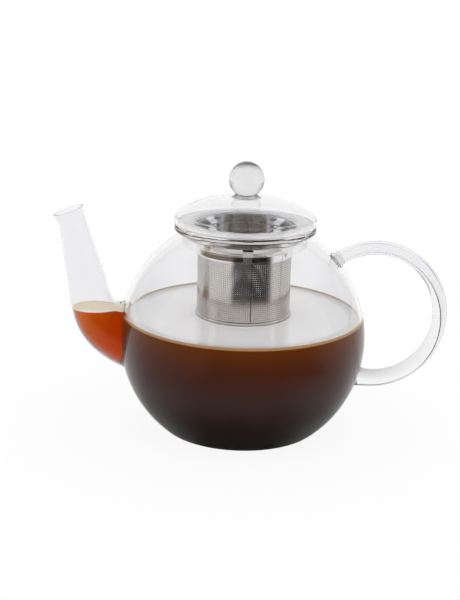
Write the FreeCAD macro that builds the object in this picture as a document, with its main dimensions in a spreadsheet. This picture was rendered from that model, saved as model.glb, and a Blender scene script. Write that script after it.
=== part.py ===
import FreeCAD, Part
import math
import os
from types import SimpleNamespace

import Sketcher

# Glass teapot: a blown glass pot with a fused spout and handle, a steel infuser that hangs in
# its neck, a domed glass lid on the infuser's flange, and the tea it holds. Millimetres, +Z up.
# The origin is the middle of the base; the spout points to -X and the handle to +X.
DRIVING_SIZES = {
    # Pot
    "belly_radius": 75.0,
    "belly_arc": 72.5,
    "belly_middle": 57.2,
    "glass_wall": 2.2,
    "base_wall": 3.0,
    "base_round": 5.0,
    "neck_rise": 5.86,
    "neck_wall": 2.4,
    "rim_flare": 5.1,
    "rim_thickness": 3.0,
    "lip_bevel": 1.4,
    # Spout, a tapering tube: a run out of the belly, a bend, a shank and a tilted mouth
    "spout_wall": 1.8,
    "spout_bend": 24.0,
    "spout_run": 28.0,
    "spout_shank": 51.0,
    "spout_start_angle": 20.0,
    "spout_end_angle": 76.9,
    "spout_root_depth": 24.2,
    "spout_root_drop": 7.9,
    "spout_root_radius": 22.5,
    "spout_heel_radius": 18.9,
    "spout_knee_radius": 15.5,
    "spout_shank_radius": 13.1,
    "spout_neck_radius": 8.5,
    "spout_mouth_radius": 9.3,
    "spout_mouth_length": 7.8,
    "spout_mouth_angle": 70.5,
    # Handle, a bent tube on an elliptical line
    "handle_reach": 40.0,
    "handle_rise": 41.5,
    "handle_upper_radius": 4.1,
    "handle_lower_radius": 5.9,
    "handle_wall": 1.6,
    "handle_start_angle": 140.0,
    "handle_end_angle": -122.0,
    "upper_weld_angle": 129.0,
    "lower_weld_angle": -105.1,
    "weld_sink": 1.0,
    "weld_swell": 2.0,
    # Infuser, pressed and rolled from sheet steel
    "seat_gap": 0.1,
    "collar_gap": 1.0,
    "sheet": 0.6,
    "flange_inset": 1.7,
    "flange_bend": 1.8,
    "collar_depth": 12.4,
    "collar_taper": 3.9,
    "shoulder_drop": 0.6,
    "shoulder_step": 1.4,
    "band_height": 3.8,
    "basket_depth": 54.5,
    "basket_sheet": 0.5,
    "floor_rise": 0.6,
    "hem_height": 1.8,
    "seam_angle": 5.5,
    "seam_place_angle": -82.0,
    "strap_angle": 10.6,
    "strap_place_angle": -87.0,
    "strap_sheet": 0.4,
    "strap_drop": 9.2,
    "strap_hook": 1.2,
    "slot_height": 3.3,
    "slot_gap": 0.3,
    # Lid
    "lid_radius": 42.85,
    "lid_overhang": 0.15,
    "lid_edge_height": 2.7,
    "lid_edge_round": 5.0,
    "lid_foot_round": 1.5,
    "dome_rise": 14.6,
    "lid_wall": 2.2,
    "lid_rim_width": 3.65,
    "ledge_height": 2.0,
    "skirt_gap": 2.6,
    "skirt_wall": 2.0,
    "skirt_depth": 5.8,
    "knob_radius": 10.7,
    "knob_lift": 9.9,
    "knob_neck_radius": 6.2,
    "knob_foot_radius": 7.6,
    "knob_foot_height": 0.9,
    # Tea
    "tea_level": 71.5,
    "tea_gap": 0.4,
}
HANDLE_STATIONS = 12
RUN_STATIONS = 2
SHANK_STATIONS = 3
STRAPS = {"front": 0.0, "right": 120.0, "left": 240.0}
CUT_OVERRUN = 2.0
QUARTER_TURN = 90.0
PARTS_FOLDER = "parts"

doc = FreeCAD.newDocument("glass_teapot")
sheet = doc.addObject("Spreadsheet::Sheet", "Sizes")


class Size:
    """A length or an angle, known both as a number and as the expression that drives it."""

    def __init__(self, value, text):
        self.value = value
        self.text = text

    def __add__(self, other):
        other = as_size(other)
        return Size(self.value + other.value, f"({self.text} + {other.text})")

    def __sub__(self, other):
        other = as_size(other)
        return Size(self.value - other.value, f"({self.text} - {other.text})")

    def __mul__(self, other):
        other = as_size(other)
        return Size(self.value * other.value, f"({self.text} * {other.text})")

    def __truediv__(self, other):
        other = as_size(other)
        return Size(self.value / other.value, f"({self.text} / {other.text})")

    def __neg__(self):
        return Size(-self.value, f"(0 - {self.text})")


def as_size(value):
    return value if isinstance(value, Size) else Size(value, repr(float(value)))


def root(size):
    return Size(math.sqrt(size.value), f"sqrt({size.text})")


def sine(angle):
    return Size(math.sin(math.radians(angle.value)), f"sin({angle.text} * 1 deg)")


def cosine(angle):
    return Size(math.cos(math.radians(angle.value)), f"cos({angle.text} * 1 deg)")


for row, (alias, value) in enumerate(DRIVING_SIZES.items(), start=1):
    sheet.set(f"A{row}", alias)
    sheet.set(f"B{row}", str(value))
    sheet.setAlias(f"B{row}", alias)
doc.recompute()
size = SimpleNamespace(**{alias: Size(value, f"Sizes.{alias}") for alias, value in DRIVING_SIZES.items()})
ZERO = as_size(0)


# Ways of making a piece
def bind(item, **sizes):
    for property_name, value in sizes.items():
        item.setExpression(property_name, as_size(value).text)
    return item


def place(item, x=ZERO, y=ZERO, z=ZERO, about=(0, 0, 1), angle=ZERO):
    """Puts an item at a point, turned about an axis, with the place driven by the sheet."""
    point = "; ".join(as_size(value).text for value in (x, y, z))
    axis = "; ".join(str(value) for value in about)
    turn = f"rotation(vector({axis}); {as_size(angle).text} * 1 deg)"
    item.setExpression("Placement", f"placement(vector({point}); {turn})")
    return item


def cylinder(name, radius, low, high, **sizes):
    item = doc.addObject("Part::Cylinder", name)
    bind(item, Radius=radius, Height=high - low, **sizes)
    return place(item, z=low)


def cut(name, base, *tools):
    """Takes tools from a base, one after another; the last result carries the name."""
    for number, tool in enumerate(tools, start=1):
        item_name = name if number == len(tools) else f"{name}_cut_{number}"
        item = doc.addObject("Part::Cut", item_name)
        item.Base, item.Tool = base, tool
        base = item
    return base


def fuse(name, *shapes):
    item = doc.addObject("Part::MultiFuse", name)
    item.Shapes = list(shapes)
    return item


def tube(name, outer, inner, low, high):
    outside = cylinder(f"{name}_outside", outer, low, high)
    return cut(name, outside, cylinder(f"{name}_inside", inner, low, high))


def line_to(radius, height):
    return SimpleNamespace(radius=as_size(radius), height=as_size(height), centre=None)


def arc_to(radius, height, centre, turn, holds):
    """An arc to a point. turn is 1 for anticlockwise, and holds names the end's given coordinate."""
    centre = [as_size(value) for value in centre]
    return SimpleNamespace(
        radius=as_size(radius), height=as_size(height), centre=centre, turn=turn, holds=holds
    )


class Profile:
    """A closed outline in a body's XZ plane, each point held by its distances from the axis and base."""

    def __init__(self, body, name):
        plane = [item for item in body.Origin.OriginFeatures if item.Role == "XZ_Plane"][0]
        self.sketch = body.newObject("Sketcher::SketchObject", name)
        self.sketch.AttachmentSupport = (plane, [""])
        self.sketch.MapMode = "FlatFace"

    def hold(self, line, point, along, distance):
        axis, kind = {"radius": (-2, "DistanceX"), "height": (-1, "DistanceY")}[along]
        if distance.text == ZERO.text:
            self.sketch.addConstraint(Sketcher.Constraint("PointOnObject", line, point, axis))
            return
        constraint = Sketcher.Constraint(kind, -1, 1, line, point, distance.value)
        number = self.sketch.addConstraint(constraint)
        self.sketch.setExpression(f"Constraints[{number}]", distance.text)

    def draw(self, start, steps):
        ends = []
        here = start
        for step in steps:
            first = FreeCAD.Vector(here.radius.value, here.height.value, 0)
            last = FreeCAD.Vector(step.radius.value, step.height.value, 0)
            if step.centre is None:
                line = self.sketch.addGeometry(Part.LineSegment(first, last), False)
                ends.append((line, 1, 2))
            else:
                centre = FreeCAD.Vector(step.centre[0].value, step.centre[1].value, 0)
                circle = Part.Circle(centre, FreeCAD.Vector(0, 0, 1), first.distanceToPoint(centre))
                angles = [math.atan2(p.y - centre.y, p.x - centre.x) for p in (first, last)]
                angles = angles if step.turn > 0 else angles[::-1]
                line = self.sketch.addGeometry(Part.ArcOfCircle(circle, *angles), False)
                ends.append((line, 1, 2) if step.turn > 0 else (line, 2, 1))
                self.hold(line, 3, "radius", step.centre[0])
                self.hold(line, 3, "height", step.centre[1])
            here = step
        for (line, _, tail), (following, head, _) in zip(ends, ends[1:] + ends[:1]):
            self.sketch.addConstraint(Sketcher.Constraint("Coincident", line, tail, following, head))
        for step, (line, _, tail) in zip(steps, ends):
            for along in ("radius", "height"):
                if step.centre is None or step.holds == along:
                    self.hold(line, tail, along, getattr(step, along))


def turned(name, start, *steps, sweep=as_size(360), symmetric=False):
    """A body turned about the pot's axis from a closed profile."""
    body = doc.addObject("PartDesign::Body", name)
    profile = Profile(body, f"{name}_profile")
    profile.draw(start, [*steps, start])
    turn = body.newObject("PartDesign::Revolution", f"{name}_turn")
    turn.Profile = profile.sketch
    turn.ReferenceAxis = (profile.sketch, ["V_Axis"])
    turn.Midplane = symmetric
    bind(turn, Angle=sweep)
    return body


def drawn_tube(name, stations, thinner=ZERO):
    """A tapering form through circles in the XZ plane: each station is x, z, radius and tilt from +Z."""
    rings = []
    for number, (x, z, radius, tilt) in enumerate(stations, start=1):
        ring = doc.addObject("Part::Circle", f"{name}_ring_{number}")
        bind(ring, Radius=radius - thinner)
        place(ring, x=x, z=z, about=(0, 1, 0), angle=tilt)
        rings.append(ring)
    loft = doc.addObject("Part::Loft", name)
    loft.Sections = rings
    loft.Solid = True
    return loft


# Pot: the blown belly, outside and inside, and the flared rim fused to its mouth, as wide as the lid
belly_offset = size.belly_radius - size.belly_arc
rim_half = size.rim_thickness / 2
rim_radius = size.lid_radius - size.lid_overhang
rim_edge = rim_radius - rim_half
neck_radius = rim_radius - size.rim_flare
neck_bore = neck_radius - size.neck_wall


def belly_reach(arc, height):
    """How far from the axis a belly arc is at a height."""
    rise = height - size.belly_middle
    return belly_offset + root(arc * arc - rise * rise)


def belly_height(arc, radius):
    """How high a belly arc is, above its widest place, at a distance from the axis."""
    out = radius - belly_offset
    return size.belly_middle + root(arc * arc - out * out)


corner_arc = size.belly_arc - size.base_round
corner_radius = belly_reach(corner_arc, size.base_round)
corner_share = size.belly_arc / corner_arc
corner_end_radius = belly_offset + (corner_radius - belly_offset) * corner_share
corner_end_height = size.belly_middle + (size.base_round - size.belly_middle) * corner_share
belly_centre = (belly_offset, size.belly_middle)
neck_low = belly_height(size.belly_arc, neck_radius)
rim_top = neck_low + size.neck_rise
belly_form = turned(
    "belly_form",
    line_to(ZERO, ZERO),
    line_to(corner_radius, ZERO),
    arc_to(corner_end_radius, corner_end_height, (corner_radius, size.base_round), 1, "height"),
    arc_to(neck_radius, neck_low, belly_centre, 1, "radius"),
    line_to(ZERO, neck_low),
)
inner_arc = size.belly_arc - size.glass_wall
belly_hollow = turned(
    "belly_hollow",
    line_to(ZERO, size.base_wall),
    line_to(belly_reach(inner_arc, size.base_wall), size.base_wall),
    arc_to(neck_bore, belly_height(inner_arc, neck_bore), belly_centre, 1, "radius"),
    line_to(neck_bore, neck_low + CUT_OVERRUN),
    line_to(ZERO, neck_low + CUT_OVERRUN),
)
glass_rim = turned(
    "glass_rim",
    line_to(neck_bore, neck_low),
    line_to(neck_radius, neck_low),
    line_to(rim_edge, rim_top - size.rim_thickness),
    arc_to(rim_edge, rim_top, (rim_edge, rim_top - rim_half), 1, "radius"),
    line_to(neck_bore + size.lip_bevel, rim_top),
    line_to(neck_bore, rim_top - size.lip_bevel),
)

# Spout: stations along a run, a bend and a shank, from inside the belly to the mouth
root_x = -(size.belly_radius - size.spout_root_depth)
root_z = size.belly_middle - size.spout_root_drop
heel_x = root_x - size.spout_run * cosine(size.spout_start_angle)
heel_z = root_z + size.spout_run * sine(size.spout_start_angle)
bend_x = heel_x + size.spout_bend * sine(size.spout_start_angle)
bend_z = heel_z + size.spout_bend * cosine(size.spout_start_angle)


def on_bend(rise):
    return bend_x - size.spout_bend * sine(rise), bend_z - size.spout_bend * cosine(rise)


def tilt_of(rise):
    """The tilt from +Z, towards -X, of a ring square to a line that climbs at an angle."""
    return rise - QUARTER_TURN


knee_rise = (size.spout_start_angle + size.spout_end_angle) / 2
knee_x, knee_z = on_bend(knee_rise)
shank_x, shank_z = on_bend(size.spout_end_angle)
neck_x = shank_x - size.spout_shank * cosine(size.spout_end_angle)
neck_z = shank_z + size.spout_shank * sine(size.spout_end_angle)
mouth_x = neck_x - size.spout_mouth_length * cosine(size.spout_mouth_angle)
mouth_z = neck_z + size.spout_mouth_length * sine(size.spout_mouth_angle)


def straight_stations(count, first, last, rise):
    """Evenly spaced rings on a straight taper from a first x, z and radius to a last."""
    for number in range(count + 1):
        share = number / count
        yield *(start + (end - start) * share for start, end in zip(first, last)), tilt_of(rise)


spout_heel = (heel_x, heel_z, size.spout_heel_radius)
spout_shank = (shank_x, shank_z, size.spout_shank_radius)
spout_neck = (neck_x, neck_z, size.spout_neck_radius)


def spout_stations(overrun):
    """The spout's rings, with its root and its mouth carried on by an overrun."""
    root_back = root_x + cosine(size.spout_start_angle) * overrun
    root_down = root_z - sine(size.spout_start_angle) * overrun
    mouth_out = mouth_x - cosine(size.spout_mouth_angle) * overrun
    mouth_up = mouth_z + sine(size.spout_mouth_angle) * overrun
    spout_root = (root_back, root_down, size.spout_root_radius)
    return [
        *straight_stations(RUN_STATIONS, spout_root, spout_heel, size.spout_start_angle),
        (knee_x, knee_z, size.spout_knee_radius, tilt_of(knee_rise)),
        *straight_stations(SHANK_STATIONS, spout_shank, spout_neck, size.spout_end_angle),
        (mouth_out, mouth_up, size.spout_mouth_radius, tilt_of(size.spout_mouth_angle)),
    ]


spout_form = drawn_tube("spout_form", spout_stations(ZERO))
spout_bore = drawn_tube("spout_bore", spout_stations(CUT_OVERRUN), size.spout_wall)
glass_body = cut("glass_body", belly_form, belly_hollow, spout_bore)
glass_spout = cut("glass_spout", spout_form, spout_bore, belly_form)

# Handle: a tube on an elliptical line, thicker at its lower end, with a fused bead at each joint.
# The beads' centres lie just under the belly's surface, on a chord of its arc, and place the handle.
upper_x = size.handle_reach * cosine(size.upper_weld_angle)
upper_z = size.handle_rise * sine(size.upper_weld_angle)
lower_x = size.handle_reach * cosine(size.lower_weld_angle)
lower_z = size.handle_rise * sine(size.lower_weld_angle)
chord_x = upper_x - lower_x
chord_z = upper_z - lower_z
chord = root(chord_x * chord_x + chord_z * chord_z)
weld_arc = size.belly_arc - size.weld_sink
chord_reach = root(weld_arc * weld_arc - chord * chord / 4)
handle_x = belly_offset + chord_z / chord * chord_reach - (upper_x + lower_x) / 2
handle_z = size.belly_middle - chord_x / chord * chord_reach - (upper_z + lower_z) / 2
handle_swing = size.handle_end_angle - size.handle_start_angle
handle_swell = size.handle_lower_radius - size.handle_upper_radius


def handle_point(angle):
    return handle_x + size.handle_reach * cosine(angle), handle_z + size.handle_rise * sine(angle)


def handle_radius(share):
    return size.handle_upper_radius + handle_swell * share**3


def handle_station(share):
    angle = size.handle_start_angle + handle_swing * share
    across = size.handle_reach * sine(angle)
    along = size.handle_rise * cosine(angle)
    tilt = Size(
        math.degrees(math.atan2(-across.value, along.value)),
        f"(atan2(0 - {across.text}; {along.text}) / 1 deg)",
    )
    return (*handle_point(angle), handle_radius(share), tilt)


handle_stations = [handle_station(number / HANDLE_STATIONS) for number in range(HANDLE_STATIONS + 1)]
handle_form = drawn_tube("handle_form", handle_stations)
handle_bore = drawn_tube("handle_bore", handle_stations, size.handle_wall)
glass_handle = cut("glass_handle", handle_form, handle_bore, belly_form)


def weld(name, angle, radius):
    """A bead of glass fused round the tube where it meets the belly."""
    bead = doc.addObject("Part::Sphere", f"{name}_bead")
    bind(bead, Radius=radius + size.weld_swell)
    x, z = handle_point(angle)
    place(bead, x=x, z=z)
    return cut(name, bead, belly_form, handle_form)


handle_upper_weld = weld("handle_upper_weld", size.upper_weld_angle, size.handle_upper_radius)
handle_lower_weld = weld("handle_lower_weld", size.lower_weld_angle, size.handle_lower_radius)

# Infuser: a pressed ring of flange, tapered collar, shoulder and band, and a basket rolled from
# perforated sheet
seat = rim_top + size.seat_gap
collar_radius = neck_bore - size.collar_gap
bend_centre = (collar_radius + size.flange_bend, seat - size.flange_bend)
shoulder_top = seat - size.collar_depth
shoulder_low = shoulder_top - size.shoulder_drop
collar_foot = collar_radius - size.collar_taper
band_radius = collar_foot - size.shoulder_step
band_low = shoulder_low - size.band_height
basket_radius = band_radius - size.sheet
basket_low = rim_top - size.basket_depth
flange_radius = rim_radius - size.flange_inset


def collar_at(height):
    """The tapered collar's outer radius at a height."""
    share = (height - shoulder_top) / (bend_centre[1] - shoulder_top)
    return collar_foot + share * size.collar_taper


def corner_shift(thickness):
    """How far a bend's corner moves along the wall to keep a sheet even over the shoulder."""
    slant = root(size.shoulder_step * size.shoulder_step + size.shoulder_drop * size.shoulder_drop)
    return thickness * (slant - size.shoulder_drop) / size.shoulder_step


ring_shift = corner_shift(size.sheet)
ring_blank = turned(
    "ring_blank",
    line_to(flange_radius, seat),
    line_to(flange_radius, seat + size.sheet),
    line_to(bend_centre[0], seat + size.sheet),
    arc_to(collar_radius - size.sheet, bend_centre[1], bend_centre, 1, "height"),
    line_to(collar_foot - size.sheet, shoulder_top + ring_shift),
    line_to(basket_radius, shoulder_low + ring_shift),
    line_to(basket_radius, band_low),
    line_to(band_radius, band_low),
    line_to(band_radius, shoulder_low),
    line_to(collar_foot, shoulder_top),
    line_to(collar_radius, bend_centre[1]),
    arc_to(bend_centre[0], seat, bend_centre, -1, "radius"),
)
strap_top = seat - size.strap_drop
strap_foot = strap_top - size.strap_sheet
slot_radius = collar_at(strap_top)
strap_shift = corner_shift(size.strap_sheet)
hook_radius = slot_radius - size.sheet - size.strap_hook
slot_width = size.strap_angle * math.radians(1) * slot_radius + size.slot_gap * 2
slot_low = strap_foot - size.slot_gap
slot_start = slot_radius - size.sheet - CUT_OVERRUN
slot_length = size.sheet + CUT_OVERRUN * 2
straps = {}
slots = []
for side, turn_on in STRAPS.items():
    name = f"basket_strap_{side}"
    straps[name] = turned(
        name,
        line_to(hook_radius, strap_top),
        line_to(hook_radius, strap_foot),
        line_to(collar_at(strap_foot), strap_foot),
        line_to(collar_foot, shoulder_top),
        line_to(band_radius, shoulder_low),
        line_to(band_radius, band_low),
        line_to(band_radius + size.strap_sheet, band_low),
        line_to(band_radius + size.strap_sheet, shoulder_low - strap_shift),
        line_to(collar_foot + size.strap_sheet, shoulder_top - strap_shift),
        line_to(slot_radius + size.strap_sheet, strap_top),
        sweep=size.strap_angle,
        symmetric=True,
    )
    strap_turn = size.strap_place_angle + turn_on
    place(straps[name], angle=strap_turn)
    slot = doc.addObject("Part::Box", f"slot_{side}")
    bind(slot, Length=slot_length, Width=slot_width, Height=size.slot_height + size.slot_gap)
    place(
        slot,
        x=slot_start * cosine(strap_turn) + slot_width / 2 * sine(strap_turn),
        y=slot_start * sine(strap_turn) - slot_width / 2 * cosine(strap_turn),
        z=slot_low,
        angle=strap_turn,
    )
    slots.append(slot)
infuser_ring = cut("infuser_ring", ring_blank, *slots)
wall_inside = basket_radius - size.basket_sheet
infuser_wall = tube("infuser_wall", basket_radius, wall_inside, basket_low, shoulder_low)
floor_low = basket_low + size.floor_rise
infuser_floor = cylinder("infuser_floor", wall_inside, floor_low, floor_low + size.basket_sheet)
infuser_hem = tube("infuser_hem", band_radius, basket_radius, basket_low, basket_low + size.hem_height)
seam_low = basket_low + size.hem_height
seam_blank = cylinder(
    "seam_blank", basket_radius + size.basket_sheet, seam_low, band_low, Angle=size.seam_angle
)
place(seam_blank, z=seam_low, angle=size.seam_place_angle)
seam_core = cylinder("seam_core", basket_radius, seam_low, band_low)
infuser_seam = cut("infuser_seam", seam_blank, seam_core)

# Lid: a blown dome with a heavy, inward rim, a locating skirt inside it and a ball knob on top
lid_seat = seat + size.sheet + size.seat_gap
lid_middle = lid_seat + size.lid_edge_height
dome_top = lid_middle + size.dome_rise
edge_radius = size.lid_radius - size.lid_edge_round
dome_arc = (
    edge_radius * edge_radius + size.dome_rise * size.dome_rise - size.lid_edge_round * size.lid_edge_round
) / ((size.dome_rise - size.lid_edge_round) * 2)
dome_centre = (ZERO, dome_top - dome_arc)
edge_centre = (edge_radius, lid_middle)
foot_centre = (size.lid_radius - size.lid_foot_round, lid_seat + size.lid_foot_round)
rim_inside = size.lid_radius - size.lid_rim_width
ledge_top = lid_seat + size.ledge_height
skirt_radius = collar_radius - size.sheet - size.skirt_gap


def dome_joint(arc):
    """Where a dome's large arc runs into the small arc of its edge."""
    share = arc / (dome_arc - size.lid_edge_round)
    return edge_radius * share, dome_centre[1] + (lid_middle - dome_centre[1]) * share


def edge_height(arc, radius):
    out = radius - edge_radius
    return lid_middle + root(arc * arc - out * out)


dome_outline = [
    line_to(ZERO, lid_seat),
    line_to(foot_centre[0], lid_seat),
    arc_to(size.lid_radius, foot_centre[1], foot_centre, 1, "height"),
    line_to(size.lid_radius, lid_middle),
    arc_to(*dome_joint(dome_arc), edge_centre, 1, "radius"),
    arc_to(ZERO, dome_top, dome_centre, 1, "radius"),
]
dome_form = turned("dome_form", *dome_outline)
inner_edge = size.lid_edge_round - size.lid_wall
inner_dome = dome_arc - size.lid_wall
dome_hollow = turned(
    "dome_hollow",
    line_to(ZERO, lid_seat - CUT_OVERRUN),
    line_to(skirt_radius, lid_seat - CUT_OVERRUN),
    line_to(skirt_radius, ledge_top),
    line_to(rim_inside, ledge_top),
    line_to(rim_inside, edge_height(inner_edge, rim_inside)),
    arc_to(*dome_joint(inner_dome), edge_centre, 1, "radius"),
    arc_to(ZERO, dome_top - size.lid_wall, dome_centre, 1, "radius"),
)
lid_dome = cut("lid_dome", dome_form, dome_hollow)
skirt_inside = skirt_radius - size.skirt_wall
lid_collar = tube("lid_collar", skirt_radius, skirt_inside, lid_seat - size.skirt_depth, ledge_top)
knob_middle = dome_top + size.knob_lift
ball = doc.addObject("Part::Sphere", "knob_ball")
bind(ball, Radius=size.knob_radius)
place(ball, z=knob_middle)
knob_neck = cylinder("knob_neck", size.knob_neck_radius, lid_middle, knob_middle)
knob_foot = cylinder("knob_foot", size.knob_foot_radius, lid_middle, dome_top + size.knob_foot_height)
knob_form = fuse("knob_form", ball, knob_neck, knob_foot)
lid_knob = cut("lid_knob", knob_form, dome_form)

# Tea: fills the pot and the spout to one level, clear of the basket
tea_block = cylinder("tea_block", size.belly_radius * 2, ZERO, size.tea_level)
tea_space = fuse("tea_space", belly_hollow, spout_bore)
tea_body = doc.addObject("Part::Common", "tea_body")
tea_body.Base, tea_body.Tool = tea_space, tea_block
basket_room = cylinder("basket_room", band_radius + size.tea_gap, basket_low - size.tea_gap, rim_top)
tea = cut("tea", tea_body, basket_room)

doc.recompute()
nodes = [
    glass_body,
    glass_rim,
    glass_spout,
    glass_handle,
    handle_upper_weld,
    handle_lower_weld,
    tea,
    infuser_ring,
    infuser_wall,
    infuser_floor,
    infuser_hem,
    infuser_seam,
    *straps.values(),
    lid_dome,
    lid_collar,
    lid_knob,
]
for item in doc.Objects:
    if {"Invalid", "Error"} & set(item.State):
        raise RuntimeError(f"{item.Name} did not compute: {item.State}")
for node in nodes:
    node.Label = node.Name
    if node.Shape.isNull() or not node.Shape.isValid() or not node.Shape.Solids:
        raise RuntimeError(f"{node.Label} has no valid solid")

os.makedirs(PARTS_FOLDER, exist_ok=True)
for node in nodes:
    node.Shape.exportStep(os.path.join(PARTS_FOLDER, f"{node.Label}.step"))
    box = node.Shape.BoundBox
    print(
        f"{node.Label}: {len(node.Shape.Solids)} solid, {node.Shape.Volume / 1000:.2f} cm3,",
        f"x {box.XMin:.1f} to {box.XMax:.1f}, y {box.YMin:.1f} to {box.YMax:.1f},",
        f"z {box.ZMin:.1f} to {box.ZMax:.1f}",
    )
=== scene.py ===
import math

import bmesh
import bpy
from mathutils import Matrix, Vector
from mathutils.geometry import delaunay_2d_cdt


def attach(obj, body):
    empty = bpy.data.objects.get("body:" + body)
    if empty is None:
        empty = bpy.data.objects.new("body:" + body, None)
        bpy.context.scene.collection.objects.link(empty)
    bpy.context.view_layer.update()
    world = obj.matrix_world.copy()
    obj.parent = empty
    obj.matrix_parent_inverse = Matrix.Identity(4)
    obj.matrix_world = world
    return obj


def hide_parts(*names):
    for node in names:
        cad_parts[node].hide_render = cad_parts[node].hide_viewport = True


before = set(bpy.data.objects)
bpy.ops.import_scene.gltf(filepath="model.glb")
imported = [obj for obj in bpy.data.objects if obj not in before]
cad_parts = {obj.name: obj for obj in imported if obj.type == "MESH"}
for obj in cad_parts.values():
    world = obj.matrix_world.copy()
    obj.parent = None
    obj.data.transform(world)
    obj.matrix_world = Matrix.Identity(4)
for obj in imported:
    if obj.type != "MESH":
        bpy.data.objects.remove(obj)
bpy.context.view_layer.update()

# Camera: a long lens in front of the pot, a little above the lid, leaning slightly as in the photo.
# Glass in glass needs many bounces before a ray is out again.
MM = 0.001
aim_point = Vector((-8.1, 0, 79.5)) * MM
camera_distance = 0.8
camera_height = math.radians(16.43)
camera_lean = math.radians(1.5)
forward = Vector((0, math.cos(camera_height), -math.sin(camera_height)))
level_right = Vector((1, 0, 0))
level_up = level_right.cross(forward)
right = level_right * math.cos(camera_lean) + level_up * math.sin(camera_lean)
up = level_up * math.cos(camera_lean) - level_right * math.sin(camera_lean)
camera_data = bpy.data.cameras.new("camera")
camera_data.lens = 78.62
camera_data.sensor_width = 36.0
camera_data.clip_start = 0.01
camera = bpy.data.objects.new("camera", camera_data)
scene = bpy.context.scene
scene.collection.objects.link(camera)
eye = aim_point - forward * camera_distance
facing = Matrix((right, up, -forward)).transposed().to_4x4()
camera.matrix_world = Matrix.Translation(eye) @ facing
scene.camera = camera
scene.view_settings.view_transform = "Standard"
scene.cycles.max_bounces = 32
scene.cycles.transmission_bounces = 28
scene.cycles.glossy_bounces = 10
scene.cycles.transparent_max_bounces = 32


# Stage, the tent: white cloth, with a bright back, duller sides with a lamp in each, and dark gaps in
# front, overhead and round the lamps, which is what the glass and the steel mirror.
class Shade:
    """A value in a node tree that is written in sums."""

    def __init__(self, tree, socket):
        self.tree = tree
        self.socket = socket

    def math(self, operation, first, second=0.0):
        return self.tree.node("ShaderNodeMath", {"operation": operation}, {0: first, 1: second})

    def __add__(self, other):
        return self.math("ADD", self, other)

    def __radd__(self, other):
        return self.math("ADD", other, self)

    def __sub__(self, other):
        return self.math("SUBTRACT", self, other)

    def __rsub__(self, other):
        return self.math("SUBTRACT", other, self)

    def __mul__(self, other):
        return self.math("MULTIPLY", self, other)

    def __rmul__(self, other):
        return self.math("MULTIPLY", other, self)

    def __neg__(self):
        return self.math("MULTIPLY", self, -1.0)

    def __abs__(self):
        return self.math("ABSOLUTE", self)


class Tree:
    """A material's or the world's node tree, filled node by node."""

    def __init__(self, owner):
        owner.use_nodes = True
        self.nodes = owner.node_tree.nodes
        self.links = owner.node_tree.links
        self.nodes.clear()

    def node(self, kind, settings=None, sockets=None, output=0):
        node = self.nodes.new(kind)
        for name, value in (settings or {}).items():
            setattr(node, name, value)
        for name, value in (sockets or {}).items():
            if isinstance(value, Shade):
                self.links.new(value.socket, node.inputs[name])
            else:
                node.inputs[name].default_value = value
        return Shade(self, node.outputs[output]) if node.outputs else None

    def step(self, value, low, high):
        """0 below low and 1 above high, smoothly between."""
        settings = {"interpolation_type": "SMOOTHSTEP"}
        sockets = {"Value": value, "From Min": low, "From Max": high}
        return self.node("ShaderNodeMapRange", settings, sockets)

    def band(self, value, rise, fall):
        """1 in a stretch of values, with a soft start and a soft end."""
        return self.step(value, *rise) * (1 - self.step(value, *fall))

    def larger(self, first, second):
        return self.node("ShaderNodeMath", {"operation": "MAXIMUM"}, {0: first, 1: second})

    def blend(self, share, first, second):
        """A colour between two, by share."""
        sockets = {"Factor": share, 6: first, 7: second}
        return self.node("ShaderNodeMix", {"data_type": "RGBA"}, sockets, 2)

    def mix(self, share, first, second):
        """A surface or light between two, by share."""
        return self.node("ShaderNodeMixShader", None, {0: share, 1: first, 2: second})

    def place(self):
        """Where a point is, in metres; the pot's axis is the z axis."""
        return self.node("ShaderNodeTexCoord", None, None, "Object")

    def axes(self, place):
        return [self.node("ShaderNodeSeparateXYZ", None, {0: place}, axis) for axis in range(3)]

    def reach(self, place):
        """The distance from the pot's axis."""
        flat = self.node("ShaderNodeVectorMath", {"operation": "MULTIPLY"}, {0: place, 1: (1, 1, 0)})
        return self.node("ShaderNodeVectorMath", {"operation": "LENGTH"}, {0: flat}, "Value")

    def bearing(self, place):
        """The angle round the pot's axis: 0 in front, growing to the right."""
        x, y, _ = self.axes(place)
        return self.node("ShaderNodeMath", {"operation": "ARCTAN2"}, {0: x, 1: -y})

    def noise(self, place, scale, detail):
        return self.node("ShaderNodeTexNoise", None, {"Vector": place, "Scale": scale, "Detail": detail})

    def ray(self, question):
        return self.node("ShaderNodeLightPath", None, None, question)


white = (1, 1, 1, 1)
side_tone = (0.93, 0.93, 1.0, 1)
cloth_level = 0.97
lamp_level = 0.95
plain_level = 1.08
front_dimming = 0.93
front_narrowing = 0.7
side_dimming = 0.40
overhead_dimming = 0.9
gap_dimming = 0.92
world = bpy.data.worlds.new("tent")
scene.world = world
tent = Tree(world)
across, inward, upward = tent.axes(tent.node("ShaderNodeTexCoord"))
sideways = abs(across)
front = tent.step(-inward, -0.1, 0.5) * (1 - front_narrowing * tent.step(sideways, 0.5, 0.8))
sides = tent.step(sideways, 0.45, 0.9)
overhead = tent.step(upward, 0.66, 0.82)
side_gaps = tent.step(sideways, 0.72, 0.84) * tent.band(upward, (0.16, 0.26), (0.60, 0.72))
lamps = tent.step(sideways, 0.76, 0.80) * tent.band(inward, (-0.34, -0.28), (-0.02, 0.04))
lamps = lamps * tent.band(upward, (0.02, 0.08), (0.60, 0.66))
tent_level = cloth_level * (1 - front_dimming * front) * (1 - side_dimming * sides)
tent_level = tent_level * (1 - overhead_dimming * overhead) * (1 - gap_dimming * side_gaps)
tent_level = tent_level + lamps * lamp_level
tent_tone = tent.blend(sides, white, side_tone)
tent_light = tent.node("ShaderNodeBackground", None, {"Color": tent_tone, "Strength": tent_level})
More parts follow.
